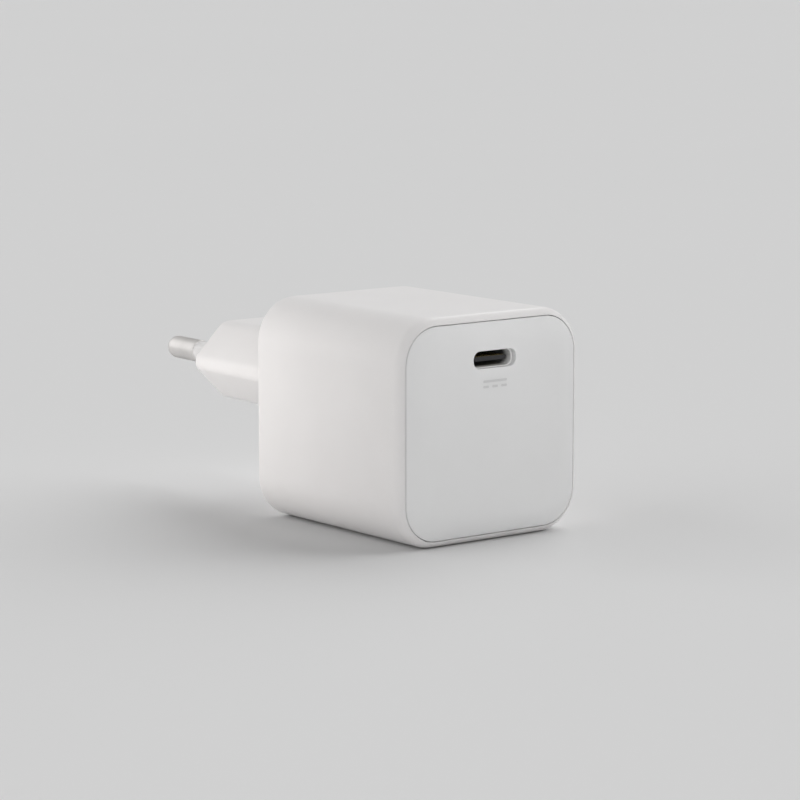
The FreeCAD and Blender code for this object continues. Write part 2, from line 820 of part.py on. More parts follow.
def transformer_bobbin():
    """Winding former: tube, two flanges, and two rails with pins that stand on the board."""
    bore = "core_centre_radius + core_fit"
    tube_radius = f"{bore} + bobbin_wall"
    low = "core_middle - core_window + core_fit"
    height = "2 * (core_window - core_fit)"
    flange_x = "core_width - 2 * (core_leg + core_fit)"
    flange_y = "core_depth + 2 * rail_room"
    high_flange = f"{low} + {height} - bobbin_flange"
    shapes = [
        cylinder("core_x", "core_y", low, tube_radius, height),
        centred_box("core_x", "core_y", low, flange_x, "core_depth", "bobbin_flange"),
        centred_box("core_x", "core_y", high_flange, flange_x, flange_y, "bobbin_flange"),
    ]
    for side in ("-", "+"):
        rail_y = f"core_y {side} (core_depth / 2 + core_fit + bobbin_rail / 2)"
        rise = f"board_bottom - ({high_flange})"
        shapes.append(centred_box("core_x", rail_y, high_flange, "core_width", "bobbin_rail", rise))
        for step in ("-1.5", "-0.5", "+0.5", "+1.5"):
            pin_x = f"core_x + ({step}) * bobbin_pin_pitch"
            shapes.append(lead(pin_x, rail_y, "board_bottom - rail_height"))
    hole = cylinder("core_x", "core_y", f"{low} - wall", bore, f"{height} + 2 * wall")
    return cut(joined("bobbin_blank", shapes), hole, "transformer_bobbin")


def transformer_winding(label, inner, build):
    """Wound ring between the bobbin's flanges."""
    low = "core_middle - core_window + core_fit + bobbin_flange + winding_fit"
    height = "2 * (core_window - core_fit - bobbin_flange - winding_fit)"
    outer = cylinder("core_x", "core_y", low, f"{inner} + {build}", height)
    hole = cylinder("core_x", "core_y", f"{low} - wall", inner, f"{height} + 2 * wall")
    return cut(outer, hole, label)


def choke_ring(outer, bore, thickness, span="360", start="0"):
    """Ring on edge across the adapter, or a sector of one, about the choke's centre."""
    discs = []
    for radius, depth in ((outer, thickness), (bore, f"{thickness} + 2 * wall")):
        disc = cylinder("0", f"({depth}) / 2", "0", radius, depth)
        disc.Placement.Rotation = FreeCAD.Rotation(FreeCAD.Vector(1, 0, 0), 90)
        discs.append(disc)
    bind(discs[0], Angle=span)
    ring = cut(*discs)
    ring.Placement.Rotation = FreeCAD.Rotation(FreeCAD.Vector(0, -1, 0), 90)
    bind(ring, Placement__Rotation__Angle=start)
    bind(ring, Placement__Base__x="choke_x", Placement__Base__y="choke_y", Placement__Base__z="choke_z")
    document.recompute()
    return ring


def choke_core():
    """Ferrite ring of the mains choke."""
    ring = choke_ring("choke_radius", "choke_bore_radius", "choke_thickness")
    ring.Label = "choke_core"
    return ring


def choke_winding(label, start, side):
    """Wire wound round one side of the ring, with its two leads."""
    layers = []
    for build, span in (("choke_wire", "choke_span"), ("choke_fit", "360")):
        outer = f"choke_radius + {build}"
        bore = f"choke_bore_radius - {build}"
        layers.append(choke_ring(outer, bore, f"choke_thickness + 2 * {build}", span, start))
    coil = cut(*layers)
    x = f"choke_x {side} (choke_radius + choke_outer) / 2"
    leads = [lead(x, f"choke_y {row} choke_thickness / 4", "choke_z") for row in ("-", "+")]
    return joined(label, [coil] + leads)


def chip(label, x, y, width, depth, height="chip_height"):
    """Flat chip soldered on top of the board."""
    block = centred_box(x, y, "board_top", width, depth, height)
    block.Label = label
    document.recompute()
    return block


def tabbed_chip(label, name, x, y):
    """Flat chip with two soldering tabs on each side."""
    width = f"{name}_width"
    depth = f"{name}_depth"
    shapes = [centred_box(x, y, "board_top", width, depth, f"{name}_height")]
    for row in ("-", "+"):
        tab_y = f"{y} {row} {depth} / 4"
        span = f"{width} + 2 * tab_length"
        shapes.append(centred_box(x, tab_y, "board_top", span, "tab_width", "tab_thickness"))
    return joined(label, shapes)


def chip_capacitors(x, y):
    """Row of ceramic capacitors on top of the board."""
    blocks = []
    for index in range(int(read("chip_capacitor_count"))):
        place = f"{x} + {index} * chip_capacitor_pitch"
        sizes = ("chip_capacitor_width", "chip_capacitor_length", "chip_capacitor_width")
        blocks.append(centred_box(place, y, "board_top", *sizes))
    return joined("chip_capacitors", blocks, "Part::Compound")


def heat_path():
    """Soft pad on the power switch and the spreader plate under the top wall."""
    rise = "spreader_bottom - board_top - chip_height"
    width = "switch_width - 2 * pad_margin"
    depth = "switch_depth - 2 * pad_margin"
    pad_block = centred_box("switch_x", "core_y", "board_top + chip_height", width, depth, rise)
    pad_block.Label = "thermal_pad"
    plate_width = "body_width - 2 * corner_round - 2 * spreader_margin"
    plate_sizes = (plate_width, "spreader_length", "spreader_thickness")
    plate = centred_box("0", "spreader_y", "spreader_bottom", *plate_sizes)
    plate.Label = "heat_spreader"
    document.recompute()
    return [pad_block, plate]


def main_board():
    """Circuit board with holes for every lead and slots for the port's legs."""
    body = new_body("main_board")
    outline = level_sketch(body, "board_bottom")
    middle = "(board_front + board_back) / 2"
    rounded_rectangle(outline, "2 * board_half", "board_back - board_front", "board_round", along=middle)
    for x, y in lead_places:
        circle(outline, x, y, "lead_radius + lead_clearance")
    for left, right, low, high in leg_places("lead_clearance"):
        rectangle(outline, left, right, low, high)
    pad(outline, "board_thickness")
    return body


def all_parts():
    """Build every sub-part, the board last because it takes its holes from the others."""
    parts = [housing_shell(), front_panel()]
    for name, side in SIDES.items():
        parts.append(plug_pin(f"plug_pin_{name}", side))
        parts.append(pin_sleeve(f"pin_sleeve_{name}", side))
        parts.append(contact_strip(f"contact_strip_{name}", side))
        parts.append(hanging_can(f"output_capacitor_{name}", "output", f"{side}output_x", "output_y"))
    parts += [port_shell(), port_insulator(), port_contacts()]
    for name in ("front", "back"):
        parts.append(hanging_can(f"bulk_capacitor_{name}", "bulk", "bulk_x", f"bulk_{name}_y"))
    parts.append(hanging_can("filter_inductor", "inductor", "inductor_x", "inductor_y"))
    parts.append(hanging_box("filter_capacitor", "filter"))
    parts.append(hanging_box("safety_capacitor", "safety", along_y=True))
    parts.append(hanging_box("fuse", "fuse"))
    parts.append(transformer_core("transformer_core_upper", "core_top - core_plate", "core_middle"))
    low = "core_top - core_height"
    parts.append(transformer_core("transformer_core_lower", low, f"{low} + core_plate"))
    parts.append(transformer_bobbin())
    primary = "core_centre_radius + core_fit + bobbin_wall + winding_fit"
    parts.append(transformer_winding("transformer_primary", primary, "primary_build"))
    secondary = f"{primary} + primary_build + winding_fit"
    parts.append(transformer_winding("transformer_secondary", secondary, "secondary_build"))
    parts.append(choke_core())
    parts.append(choke_winding("choke_winding_left", "180 - choke_span / 2", "-"))
    parts.append(choke_winding("choke_winding_right", "0 - choke_span / 2", "+"))
    parts.append(chip("power_switch", "switch_x", "core_y", "switch_width", "switch_depth"))
    parts.append(chip("sync_rectifier", "sync_x", "core_y", "sync_width", "sync_depth"))
    parts.append(chip("port_controller", "0", "controller_y", "controller_width", "controller_width"))
    parts.append(tabbed_chip("bridge_rectifier", "rectifier", "rectifier_x", "rectifier_y"))
    parts.append(tabbed_chip("optocoupler", "coupler", "coupler_x", "coupler_y"))
    parts.append(chip_capacitors("inductor_x", "output_back"))
    parts += heat_path()
    parts.append(main_board())
    return parts


def check(parts):
    """Stop if any object failed or any sub-part has no valid solid."""
    document.recompute()
    for thing in document.Objects:
        if "Invalid" in thing.State or "Error" in thing.State:
            raise RuntimeError(f"{thing.Label} failed: {thing.State}")
    for part in parts:
        shape = part.Shape
        if shape.isNull() or not shape.isValid() or not shape.Solids:
            raise RuntimeError(f"{part.Label} has no valid solid")


def export(parts):
    """Write each sub-part to a file named for it."""
    os.makedirs("parts", exist_ok=True)
    for part in parts:
        part.Shape.exportStep(f"parts/{part.Label}.step")
        print(part.Label, len(part.Shape.Solids), round(part.Shape.Volume, 2))


fill_sheet()
finished = all_parts()
check(finished)
export(finished)
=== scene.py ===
"""Looks of a mains power adapter: its pieces, their finishes, and the studio they stand in."""

import json
import logging
import math
from collections.abc import Callable, Sequence
from dataclasses import dataclass, field
from enum import Enum

import bpy
from mathutils import Matrix, Vector


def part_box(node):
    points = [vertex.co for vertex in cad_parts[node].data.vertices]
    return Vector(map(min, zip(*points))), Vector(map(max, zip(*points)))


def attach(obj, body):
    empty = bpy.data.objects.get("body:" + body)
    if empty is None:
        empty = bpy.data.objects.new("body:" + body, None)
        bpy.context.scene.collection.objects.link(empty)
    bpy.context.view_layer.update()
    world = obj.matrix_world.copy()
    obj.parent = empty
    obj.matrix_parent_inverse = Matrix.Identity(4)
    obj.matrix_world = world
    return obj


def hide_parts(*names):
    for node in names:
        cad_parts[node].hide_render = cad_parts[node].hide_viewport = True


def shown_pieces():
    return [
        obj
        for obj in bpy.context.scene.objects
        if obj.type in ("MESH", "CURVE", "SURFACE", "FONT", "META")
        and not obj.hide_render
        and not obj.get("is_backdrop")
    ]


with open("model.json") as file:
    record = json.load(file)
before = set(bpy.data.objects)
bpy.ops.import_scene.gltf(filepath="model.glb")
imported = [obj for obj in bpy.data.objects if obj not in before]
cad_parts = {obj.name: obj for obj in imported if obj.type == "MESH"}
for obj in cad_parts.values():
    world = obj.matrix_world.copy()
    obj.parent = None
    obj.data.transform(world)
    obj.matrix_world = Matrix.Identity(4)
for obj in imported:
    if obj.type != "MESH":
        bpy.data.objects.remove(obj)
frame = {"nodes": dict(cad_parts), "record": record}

Colour = tuple[float, float, float]
Point = Sequence[float]
Outline = Sequence[tuple[float, float]]
Test = Callable[[Vector, Vector], bool]
Paint = dict[str, bpy.types.Material]

MM = 0.001
# Points closer than this are one point.
NEAR = 0.001 * MM
# From this share on a direction counts as lined up with an axis.
ALIGNED = 0.99
# Width of the flat border that keeps a rounded face's shading level.
LEVEL_BORDER = 0.05 * MM
# Edges that turn by less than this are shaded smooth.
SMOOTH_ANGLE = math.radians(35.0)
# The part of a pattern's strength that a colour or a number runs over.
PATTERN_LOW = 0.3
PATTERN_HIGH = 0.7
# Distance at which the wave texture repeats when its scale is one.
WAVE_LENGTH = math.tau / 20
FLOOR_NAME = "floor"
log = logging.getLogger("power_adapter")


class Axis(Enum):
    """Directions that a pattern can run along."""

    ACROSS = (1.0, 0.0, 0.0)
    DEPTH = (0.0, 1.0, 0.0)
    UP = (0.0, 0.0, 1.0)


def anywhere(first: Vector, second: Vector) -> bool:
    """Pass every face and edge."""
    return True


def along_depth(first: Vector, second: Vector) -> bool:
    """Pass the edges that run from front to back."""
    return abs((second - first).normalized().y) > ALIGNED


def facing_front(middle: Vector, normal: Vector) -> bool:
    """Pass the faces that look to the front."""
    return normal.y < -ALIGNED


def facing_back(middle: Vector, normal: Vector) -> bool:
    """Pass the faces that look to the back."""
    return normal.y > ALIGNED


class Workpiece:
    """One new mesh, shaped as by hand: picked faces and edges are inset, drawn out and rounded."""

    def __init__(self, name: str) -> None:
        """Take the primitive that was just added, and put its place and size into its mesh.

        Args:
            name: The piece's name.
        """
        self.thing = bpy.context.object
        self.thing.name = name
        self.thing.data.name = name
        self.settle()

    @classmethod
    def block(cls, name: str, low: Point, high: Point) -> "Workpiece":
        """Start from a block.

        Args:
            name: The piece's name.
            low: Its lowest corner.
            high: Its highest corner.

        Returns:
            The block.
        """
        bpy.ops.object.select_all(action="DESELECT")
        middle = (Vector(low) + Vector(high)) / 2
        bpy.ops.mesh.primitive_cube_add(size=1.0, location=middle, scale=Vector(high) - Vector(low))
        return cls(name)

    @classmethod
    def turned(cls, name: str, outline: Outline, sides: int = 64) -> "Workpiece":
        """Turn a round piece about the upright axis through the origin.

        Args:
            name: The piece's name.
            outline: Height and radius of each ring, from one end to the other.
            sides: Number of flats round it.

        Returns:
            The turned piece.
        """
        bpy.ops.object.select_all(action="DESELECT")
        height, radius = outline[0]
        place = (0.0, 0.0, height)
        bpy.ops.mesh.primitive_circle_add(vertices=sides, radius=radius, fill_type="NGON", location=place)
        piece = cls(name)
        piece.pick_faces(anywhere)
        for next_height, next_radius in outline[1:]:
            rise = (0.0, 0.0, next_height - height)
            bpy.ops.mesh.extrude_region_move(TRANSFORM_OT_translate={"value": rise})
            factor = next_radius / radius
            bpy.ops.transform.resize(value=(factor, factor, 1.0), center_override=(0.0, 0.0, next_height))
            height, radius = next_height, next_radius
        piece.close()
        return piece

    @classmethod
    def wire_turn(
        cls, name: str, bend: float, wire: float, straight: Point, bend_steps: int = 32, wire_sides: int = 10
    ) -> "Workpiece":
        """Bend one turn of wire into a rounded rectangle that lies level.

        Args:
            name: The piece's name.
            bend: Radius of its four bends, at the wire's middle.
            wire: Radius of the wire.
            straight: Half the straight length along the first two axes.
            bend_steps: Number of short pieces in the four bends together.
            wire_sides: Number of flats round the wire.

        Returns:
            The turn of wire.
        """
        bpy.ops.object.select_all(action="DESELECT")
        bpy.ops.mesh.primitive_torus_add(
            major_segments=bend_steps, minor_segments=wire_sides, major_radius=bend, minor_radius=wire
        )
        piece = cls(name)
        for axis, reach in enumerate(straight):
            for way in (-1.0, 1.0):
                piece.pick_faces(lambda middle, normal: middle[axis] * way > 0.0)
                move = Vector((0.0, 0.0, 0.0))
                move[axis] = way * reach
                bpy.ops.transform.translate(value=move)
                piece.close()
        return piece

    def hold(self) -> None:
        """Select this piece alone and make it the active one."""
        bpy.ops.object.select_all(action="DESELECT")
        self.thing.select_set(True)
        bpy.context.view_layer.objects.active = self.thing

    def settle(self) -> None:
        """Put the object's place, turn and size into its mesh."""
        self.hold()
        bpy.ops.object.transform_apply(location=True, rotation=True, scale=True)

    def place(self, where: Point, turn: Point = (0.0, 0.0, 0.0)) -> None:
        """Turn the finished shape about the origin and move it to its place.

        Args:
            where: Where the shape's origin goes.
            turn: Its turn about each axis, in radians.
        """
        self.thing.rotation_euler = turn
        self.thing.location = where
        self.settle()

    def pick_faces(self, test: Test) -> None:
        """Open the mesh and pick the faces whose middle and normal pass a test."""
        faces = self.thing.data.polygons
        self.open((False, False, True), faces, [test(face.center, face.normal) for face in faces])

    def pick_edges(self, test: Test) -> None:
        """Open the mesh and pick the edges whose two ends pass a test.

        Args:
            test: Passes an edge by its two ends.
        """
        points = self.thing.data.vertices
        edges = self.thing.data.edges
        ends = [(points[edge.vertices[0]].co, points[edge.vertices[1]].co) for edge in edges]
        self.open((False, True, False), edges, [test(*pair) for pair in ends])

    def open(
        self, mode: tuple[bool, bool, bool], items: bpy.types.bpy_prop_collection, picked: list[bool]
    ) -> None:
        """Open the mesh for shaping, with some of its edges or faces picked.

        Args:
            mode: Whether vertices, edges and faces can be picked.
            items: The mesh's edges or faces.
            picked: Which of them are picked.
        """
        mesh = self.thing.data
        for group in (mesh.vertices, mesh.edges, mesh.polygons):
            group.foreach_set("select", [False] * len(group))
        items.foreach_set("select", picked)
        bpy.context.tool_settings.mesh_select_mode = mode
        self.hold()
        bpy.ops.object.mode_set(mode="EDIT")

    def close(self) -> None:
        """Close the mesh after shaping."""
        bpy.ops.object.mode_set(mode="OBJECT")

    def round_edges(self, test: Test, width: float, steps: int) -> None:
        """Round the edges that pass a test.

        Args:
            test: Passes the edges.
            width: How far the rounding reaches from the edge.
            steps: Number of strips across it.
        """
        self.pick_edges(test)
        bpy.ops.mesh.bevel(offset=width, offset_type="OFFSET", segments=steps, affect="EDGES")
        self.close()

    def round_over(self, test: Test, radius: float, lean: tuple[float, float], steps: int) -> None:
        """Carry a face outwards along an arc, and end on a narrow flat border that keeps its shading level.

        Args:
            test: Passes the face.
            radius: The arc's radius.
            lean: How far the surface leans from the face's direction at the start and end, in degrees.
            steps: Number of strips along the arc.
        """
        self.pick_faces(test)
        start, end = (math.radians(angle) for angle in lean)
        angles = [start + (end - start) * step / steps for step in range(steps + 1)]
        for steep, flat in zip(angles, angles[1:]):
            inward = radius * (math.sin(steep) - math.sin(flat))
            outward = radius * (math.cos(flat) - math.cos(steep))
            bpy.ops.mesh.inset(thickness=inward, depth=outward)
        bpy.ops.mesh.inset(thickness=LEVEL_BORDER, depth=0.0)
        self.close()

    def step_out(self, test: Test, direction: Vector, *steps: tuple[float, float]) -> None:
        """Inset a face and draw it out, several times over.

        Args:
            test: Passes the face.
            direction: The way in which it is drawn.
            steps: How far it is inset and then drawn, each time.
        """
        self.pick_faces(test)
        for inward, outward in steps:
            bpy.ops.mesh.inset(thickness=inward, depth=0.0)
            bpy.ops.mesh.extrude_region_move(TRANSFORM_OT_translate={"value": direction * outward})
        self.close()

    def cut_with(self, tool: "Workpiece") -> None:
        """Cut another piece away from this one, and use the other one up.

        Args:
            tool: The piece that is cut away.
        """
        modifier = self.thing.modifiers.new("cut", "BOOLEAN")
        modifier.operation = "DIFFERENCE"
        modifier.solver = "EXACT"
        modifier.object = tool.thing
        self.hold()
        bpy.ops.object.modifier_apply(modifier=modifier.name)
        bpy.data.objects.remove(tool.thing)

    def copy(self, name: str) -> "Workpiece":
        """Copy this piece, with a mesh of its own.

        Args:
            name: The copy's name.

        Returns:
            The copy.
        """
        twin = self.thing.copy()
        twin.data = self.thing.data.copy()
        bpy.context.scene.collection.objects.link(twin)
        bpy.ops.object.select_all(action="DESELECT")
        bpy.context.view_layer.objects.active = twin
        return Workpiece(name)

    def take_in(self, others: list["Workpiece"]) -> None:
        """Join other pieces to this one.

        Args:
            others: The pieces that are joined and so used up.
        """
        self.hold()
        for other in others:
            other.thing.select_set(True)
        bpy.ops.object.join()

    def finish(self, material: bpy.types.Material, slot: str, *nodes: str) -> None:
        """Clean the mesh, shade it, dress it and fix it to the object.

        Args:
            material: Its finish.
            slot: The record's slot for that finish; not used.
            nodes: The frame's nodes that it stands for.
        """
        self.pick_faces(anywhere)
        bpy.ops.mesh.remove_doubles(threshold=NEAR / 2)
        bpy.ops.mesh.normals_make_consistent(inside=False)
        self.close()
        self.hold()
        bpy.ops.object.shade_smooth_by_angle(angle=SMOOTH_ANGLE)
        even = self.thing.modifiers.new("even_shading", "WEIGHTED_NORMAL")
        even.keep_sharp = True
        bpy.ops.object.modifier_apply(modifier=even.name)
        self.thing.data.materials.clear()
        self.thing.data.materials.append(material)
        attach(self.thing, "root")
        if nodes:
            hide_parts(*nodes)
        log.info("%s is built and dressed in %s", self.thing.name, material.name)


class NodeBench:
    """A new material's nodes, with short ways to add and join them."""

    def __init__(self, name: str) -> None:
        """Start a material that holds one shader and its output.

        Args:
            name: The material's name.
        """
        self.material = bpy.data.materials.new(name)
        self.material.use_nodes = True
        self.tree = self.material.node_tree
        self.shader = self.tree.nodes["Principled BSDF"]
        self.place = self.tree.nodes.new("ShaderNodeTexCoord").outputs["Object"]

    def set(self, **inputs: object) -> None:
        """Set the shader's own sockets; an underscore in a name stands for a space."""
        for name, value in inputs.items():
            self.shader.inputs[name.replace("_", " ")].default_value = value

    def add(self, kind: str, **inputs: object) -> bpy.types.Node:
        """Add a node and set or join its inputs.

        Args:
            kind: The node's kind, without its family's name.
            inputs: Values or sockets by input name; an underscore stands for a space.

        Returns:
            The new node.
        """
        node = self.tree.nodes.new(f"ShaderNode{kind}")
        for name, value in inputs.items():
            socket = node.inputs[name.replace("_", " ")]
            if isinstance(value, bpy.types.NodeSocket):
                self.tree.links.new(value, socket)
            else:
                socket.default_value = value
        return node

    def join(self, source: bpy.types.NodeSocket, name: str) -> None:
        """Join a socket to one of the shader's inputs."""
        self.tree.links.new(source, self.shader.inputs[name])

    def noise(self, size: float, scale: Point = (1.0, 1.0, 1.0), detail: float = 3.0) -> bpy.types.NodeSocket:
        """Return a cloudy pattern.

        Args:
            size: Length of one cloud in metres.
            scale: How much finer the clouds are along each axis.
            detail: Number of finer layers.

        Returns:
            The pattern's strength, around 0.5.
        """
        where = self.add("Mapping", Vector=self.place, Scale=scale).outputs["Vector"]
        return self.add("TexNoise", Vector=where, Scale=1.0 / size, Detail=detail).outputs["Fac"]

    def tones(self, pattern: bpy.types.NodeSocket, low: Colour, high: Colour) -> bpy.types.NodeSocket:
        """Let a colour run from low to high with a pattern.

        Args:
            pattern: The pattern's strength.
            low: The colour where the pattern is weak.
            high: The colour where it is strong.

        Returns:
            The colour.
        """
        node = self.add("ValToRGB", Fac=pattern)
        ramp = node.color_ramp.elements
        ramp[0].position = PATTERN_LOW
        ramp[1].position = PATTERN_HIGH
        ramp[0].color = (*low, 1.0)
        ramp[1].color = (*high, 1.0)
        return node.outputs["Color"]

    def span(self, pattern: bpy.types.NodeSocket, low: float, high: float) -> bpy.types.NodeSocket:
        """Return a number that runs from low to high with a pattern."""
        limits = {"From_Min": PATTERN_LOW, "From_Max": PATTERN_HIGH, "To_Min": low, "To_Max": high}
        return self.add("MapRange", Value=pattern, **limits).outputs["Result"]

    def bump(self, pattern: bpy.types.NodeSocket, height: float, strength: float) -> None:
        """Raise the surface with a pattern, by a height in metres."""
        node = self.add("Bump", Height=pattern, Distance=height, Strength=strength)
        self.join(node.outputs["Normal"], "Normal")


def shade(colour: Colour, factor: float) -> Colour:
    """Return a colour made darker or lighter by a factor."""
    return tuple(min(1.0, part * factor) for part in colour)


@dataclass(frozen=True)
class Moulding:
    """Moulded plastic with a fine spark-eroded grain."""

    slot: str
    colour: Colour
    roughness: float = 0.34
    uneven: float = 0.04
    sheen: float = 0.35
    grain: float = 0.12 * MM
    grain_height: float = 0.002 * MM
    grain_strength: float = 0.5
    cloud: float = 9 * MM
    drift: float = 0.008
    glow: float = 0.0
    glow_reach: float = 0.6 * MM

    def material(self) -> bpy.types.Material:
        """Make the plastic's material.

        Returns:
            The material.
        """
        bench = NodeBench(self.slot)
        bench.set(Specular_IOR_Level=self.sheen, Subsurface_Weight=self.glow)
        bench.set(Subsurface_Scale=self.glow_reach, Subsurface_Radius=(1.0, 1.0, 1.0))
        clouds = bench.noise(self.cloud, detail=2.0)
        grain = bench.noise(self.grain)
        tones = bench.tones(clouds, shade(self.colour, 1 - self.drift), shade(self.colour, 1 + self.drift))
        bench.join(tones, "Base Color")
        roughness = bench.span(grain, self.roughness - self.uneven, self.roughness + self.uneven)
        bench.join(roughness, "Roughness")
        bench.bump(grain, self.grain_height, self.grain_strength)
        return bench.material


@dataclass(frozen=True)
class Metal:
    """Plated, turned or rolled metal with fine lines across one axis."""

    slot: str
    colour: Colour
    roughness: float = 0.25
    across: Axis = Axis.ACROSS
    metallic: float = 1.0
    rim: float = 1.0
    line: float = 0.06 * MM
    line_stretch: float = 0.04
    line_height: float = 0.001 * MM
    line_strength: float = 0.4
    uneven: float = 0.06
    cloud: float = 4 * MM
    drift: float = 0.06

    def material(self) -> bpy.types.Material:
        """Make the metal's material.

        Returns:
            The material.
        """
        bench = NodeBench(self.slot)
        bench.set(Metallic=self.metallic, Specular_Tint=(self.rim, self.rim, self.rim, 1.0))
        scale = tuple(1.0 if part else self.line_stretch for part in self.across.value)
        lines = bench.noise(self.line, scale, detail=4.0)
        bench.join(self.tones(bench), "Base Color")
        roughness = bench.span(lines, self.roughness - self.uneven, self.roughness + self.uneven)
        bench.join(roughness, "Roughness")
        bench.bump(lines, self.line_height, self.line_strength)
        return bench.material

    def tones(self, bench: NodeBench) -> bpy.types.NodeSocket:
        """Return the metal's colour, a little cloudy."""
        clouds = bench.noise(self.cloud, detail=2.0)
        return bench.tones(clouds, shade(self.colour, 1 - self.drift), shade(self.colour, 1 + self.drift))


@dataclass(frozen=True)
class PortSteel(Metal):
    """Steel of the port's shell, with painted shade: its colour darkens from the mouth inwards."""

    # Painted shade: over this depth from the mouth the steel's colour darkens to the share below.
    reach: float = 3 * MM
    depth_painted_shade: float = 0.15

    def tones(self, bench: NodeBench) -> bpy.types.NodeSocket:
        """Paint shade into the colour, darker from the mouth inwards.

        Args:
            bench: The material's nodes.

        Returns:
            The colour.
        """
        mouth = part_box("port_shell")[0][1]
        depth = bench.add("SeparateXYZ", Vector=bench.place).outputs["Y"]
        inwards = bench.add("MapRange", Value=depth, From_Min=mouth, From_Max=mouth + self.reach)
        # Painted shade: darker with depth, where little light reaches inside the port.
        return bench.tones(inwards.outputs["Result"], self.colour, shade(self.colour, self.depth_painted_shade))


@dataclass(frozen=True)
class Speckle:
    """Sintered or filled material with small light and dark grains."""

    slot: str
    colour: Colour
    roughness: float = 0.7
    uneven: float = 0.08
    grain: float = 0.25 * MM
    grain_height: float = 0.02 * MM
    grain_strength: float = 0.5
    cloud: float = 2 * MM
    dark: float = 0.8
    light: float = 1.25

    def material(self) -> bpy.types.Material:
        """Make the material with its grains.

        Returns:
            The material.
        """
        bench = NodeBench(self.slot)
        cells = bench.add("TexVoronoi", Vector=bench.place, Scale=1.0 / self.grain)
        clouds = bench.noise(self.cloud)
        tones = bench.tones(clouds, shade(self.colour, self.dark), shade(self.colour, self.light))
        bench.join(tones, "Base Color")
        roughness = bench.span(clouds, self.roughness - self.uneven, self.roughness + self.uneven)
        bench.join(roughness, "Roughness")
        bench.bump(cells.outputs["Distance"], self.grain_height, self.grain_strength)
        return bench.material


@dataclass(frozen=True)
class Wound:
    """Wire or tape laid in turns, seen as fine ribs along one axis, with painted shade in the valleys and a
    painted highlight on the ridges.
    """

    slot: str
    colour: Colour
    pitch: float
    metallic: float = 0.0
    roughness: float = 0.35
    along: Axis = Axis.UP
    wander: float = 0.4
    valley_painted_shade: float = 0.75
    ridge_painted_highlight: float = 1.1
    valley_dull: float = 0.1
    ridge_gloss: float = 0.05
    rib_height: float = 0.05 * MM
    rib_strength: float = 0.6

    def material(self) -> bpy.types.Material:
        """Make the material with its ribs.

        Returns:
            The material.
        """
        bench = NodeBench(self.slot)
        bench.set(Metallic=self.metallic)
        scale = WAVE_LENGTH / self.pitch
        ribs = bench.add("TexWave", Vector=bench.place, Scale=scale, Distortion=self.wander)
        ribs.wave_type = "BANDS"
        ribs.bands_direction = {Axis.ACROSS: "X", Axis.DEPTH: "Y", Axis.UP: "Z"}[self.along]
        pattern = ribs.outputs["Fac"]
        # Painted shade and highlight: the colour is darker in the valleys between turns and lighter on the
        # ridges.
        low, high = (shade(self.colour, factor) for factor in (self.valley_painted_shade, self.ridge_painted_highlight))
        bench.join(bench.tones(pattern, low, high), "Base Color")
        roughness = bench.span(pattern, self.roughness + self.valley_dull, self.roughness - self.ridge_gloss)
        bench.join(roughness, "Roughness")
        bench.bump(pattern, self.rib_height, self.rib_strength)
        return bench.material


@dataclass(frozen=True)
class Laminate:
    """Circuit board: woven glass under green resist."""

    slot: str
    colour: Colour
    roughness: float = 0.35
    coat: float = 0.3
    strand: float = 1.2 * MM
    light: float = 1.1
    dark: float = 0.9
    gap: float = 0.7
    weave_height: float = 0.02 * MM
    weave_strength: float = 0.3

    def material(self) -> bpy.types.Material:
        """Make the board's material.

        Returns:
            The material.
        """
        bench = NodeBench(self.slot)
        bench.set(Roughness=self.roughness, Coat_Weight=self.coat)
        weave = bench.add("TexBrick", Vector=bench.place, Scale=1.0 / self.strand)
        for name, factor in (("Color1", self.light), ("Color2", self.dark), ("Mortar", self.gap)):
            weave.inputs[name].default_value = (*shade(self.colour, factor), 1.0)
        bench.join(weave.outputs["Color"], "Base Color")
        bench.bump(weave.outputs["Fac"], self.weave_height, self.weave_strength)
        return bench.material


WARM_WHITE = (0.810, 0.795, 0.7905)
CLEAR_WHITE = (0.80, 0.80, 0.80)
FINISHES = (
    Moulding("housing_plastic", WARM_WHITE, glow=0.6),
    Moulding("panel_plastic", CLEAR_WHITE, glow=0.6),
    Moulding("sign_ink", (0.66, 0.66, 0.66)),
    Moulding("sleeve_plastic", WARM_WHITE, glow=0.6),
    Metal("pin_metal", (0.93, 0.905, 0.885), roughness=0.4, across=Axis.DEPTH, rim=0.4),
    PortSteel("port_steel", (0.92, 0.92, 0.91), roughness=0.5, metallic=0.25),
    Moulding("port_plastic", (0.03, 0.03, 0.032)),
    Metal("contact_gold", (0.83, 0.66, 0.32)),
    Metal("contact_copper", (0.72, 0.52, 0.34)),
    Laminate("board_laminate", (0.05, 0.22, 0.10)),
    Moulding("bulk_sleeve", (0.06, 0.06, 0.07), roughness=0.3, sheen=0.5),
    Metal("output_can", (0.75, 0.75, 0.76), across=Axis.UP),
    Moulding("inductor_sleeve", (0.05, 0.05, 0.05), roughness=0.5),
    Moulding("film_case", (0.75, 0.60, 0.12), roughness=0.3, sheen=0.5),
    Moulding("ceramic_coat", (0.10, 0.22, 0.55), roughness=0.25, sheen=0.5),
    Moulding("fuse_case", (0.06, 0.06, 0.06), roughness=0.4),
    Speckle("ferrite", (0.09, 0.09, 0.095)),
    Moulding("bobbin_plastic", (0.08, 0.08, 0.08), roughness=0.5),
    Wound("winding_tape", (0.75, 0.62, 0.18), pitch=2 * MM),
    Wound("enamel_wire", (0.62, 0.30, 0.14), pitch=0.8 * MM, metallic=0.9),
    Moulding("chip_resin", (0.04, 0.04, 0.042), roughness=0.6),
    Speckle("chip_ceramic", (0.42, 0.32, 0.22), roughness=0.5),
    Moulding("soft_pad", (0.45, 0.52, 0.60), roughness=0.8),
    Metal("spreader_metal", (0.78, 0.78, 0.79)),
)


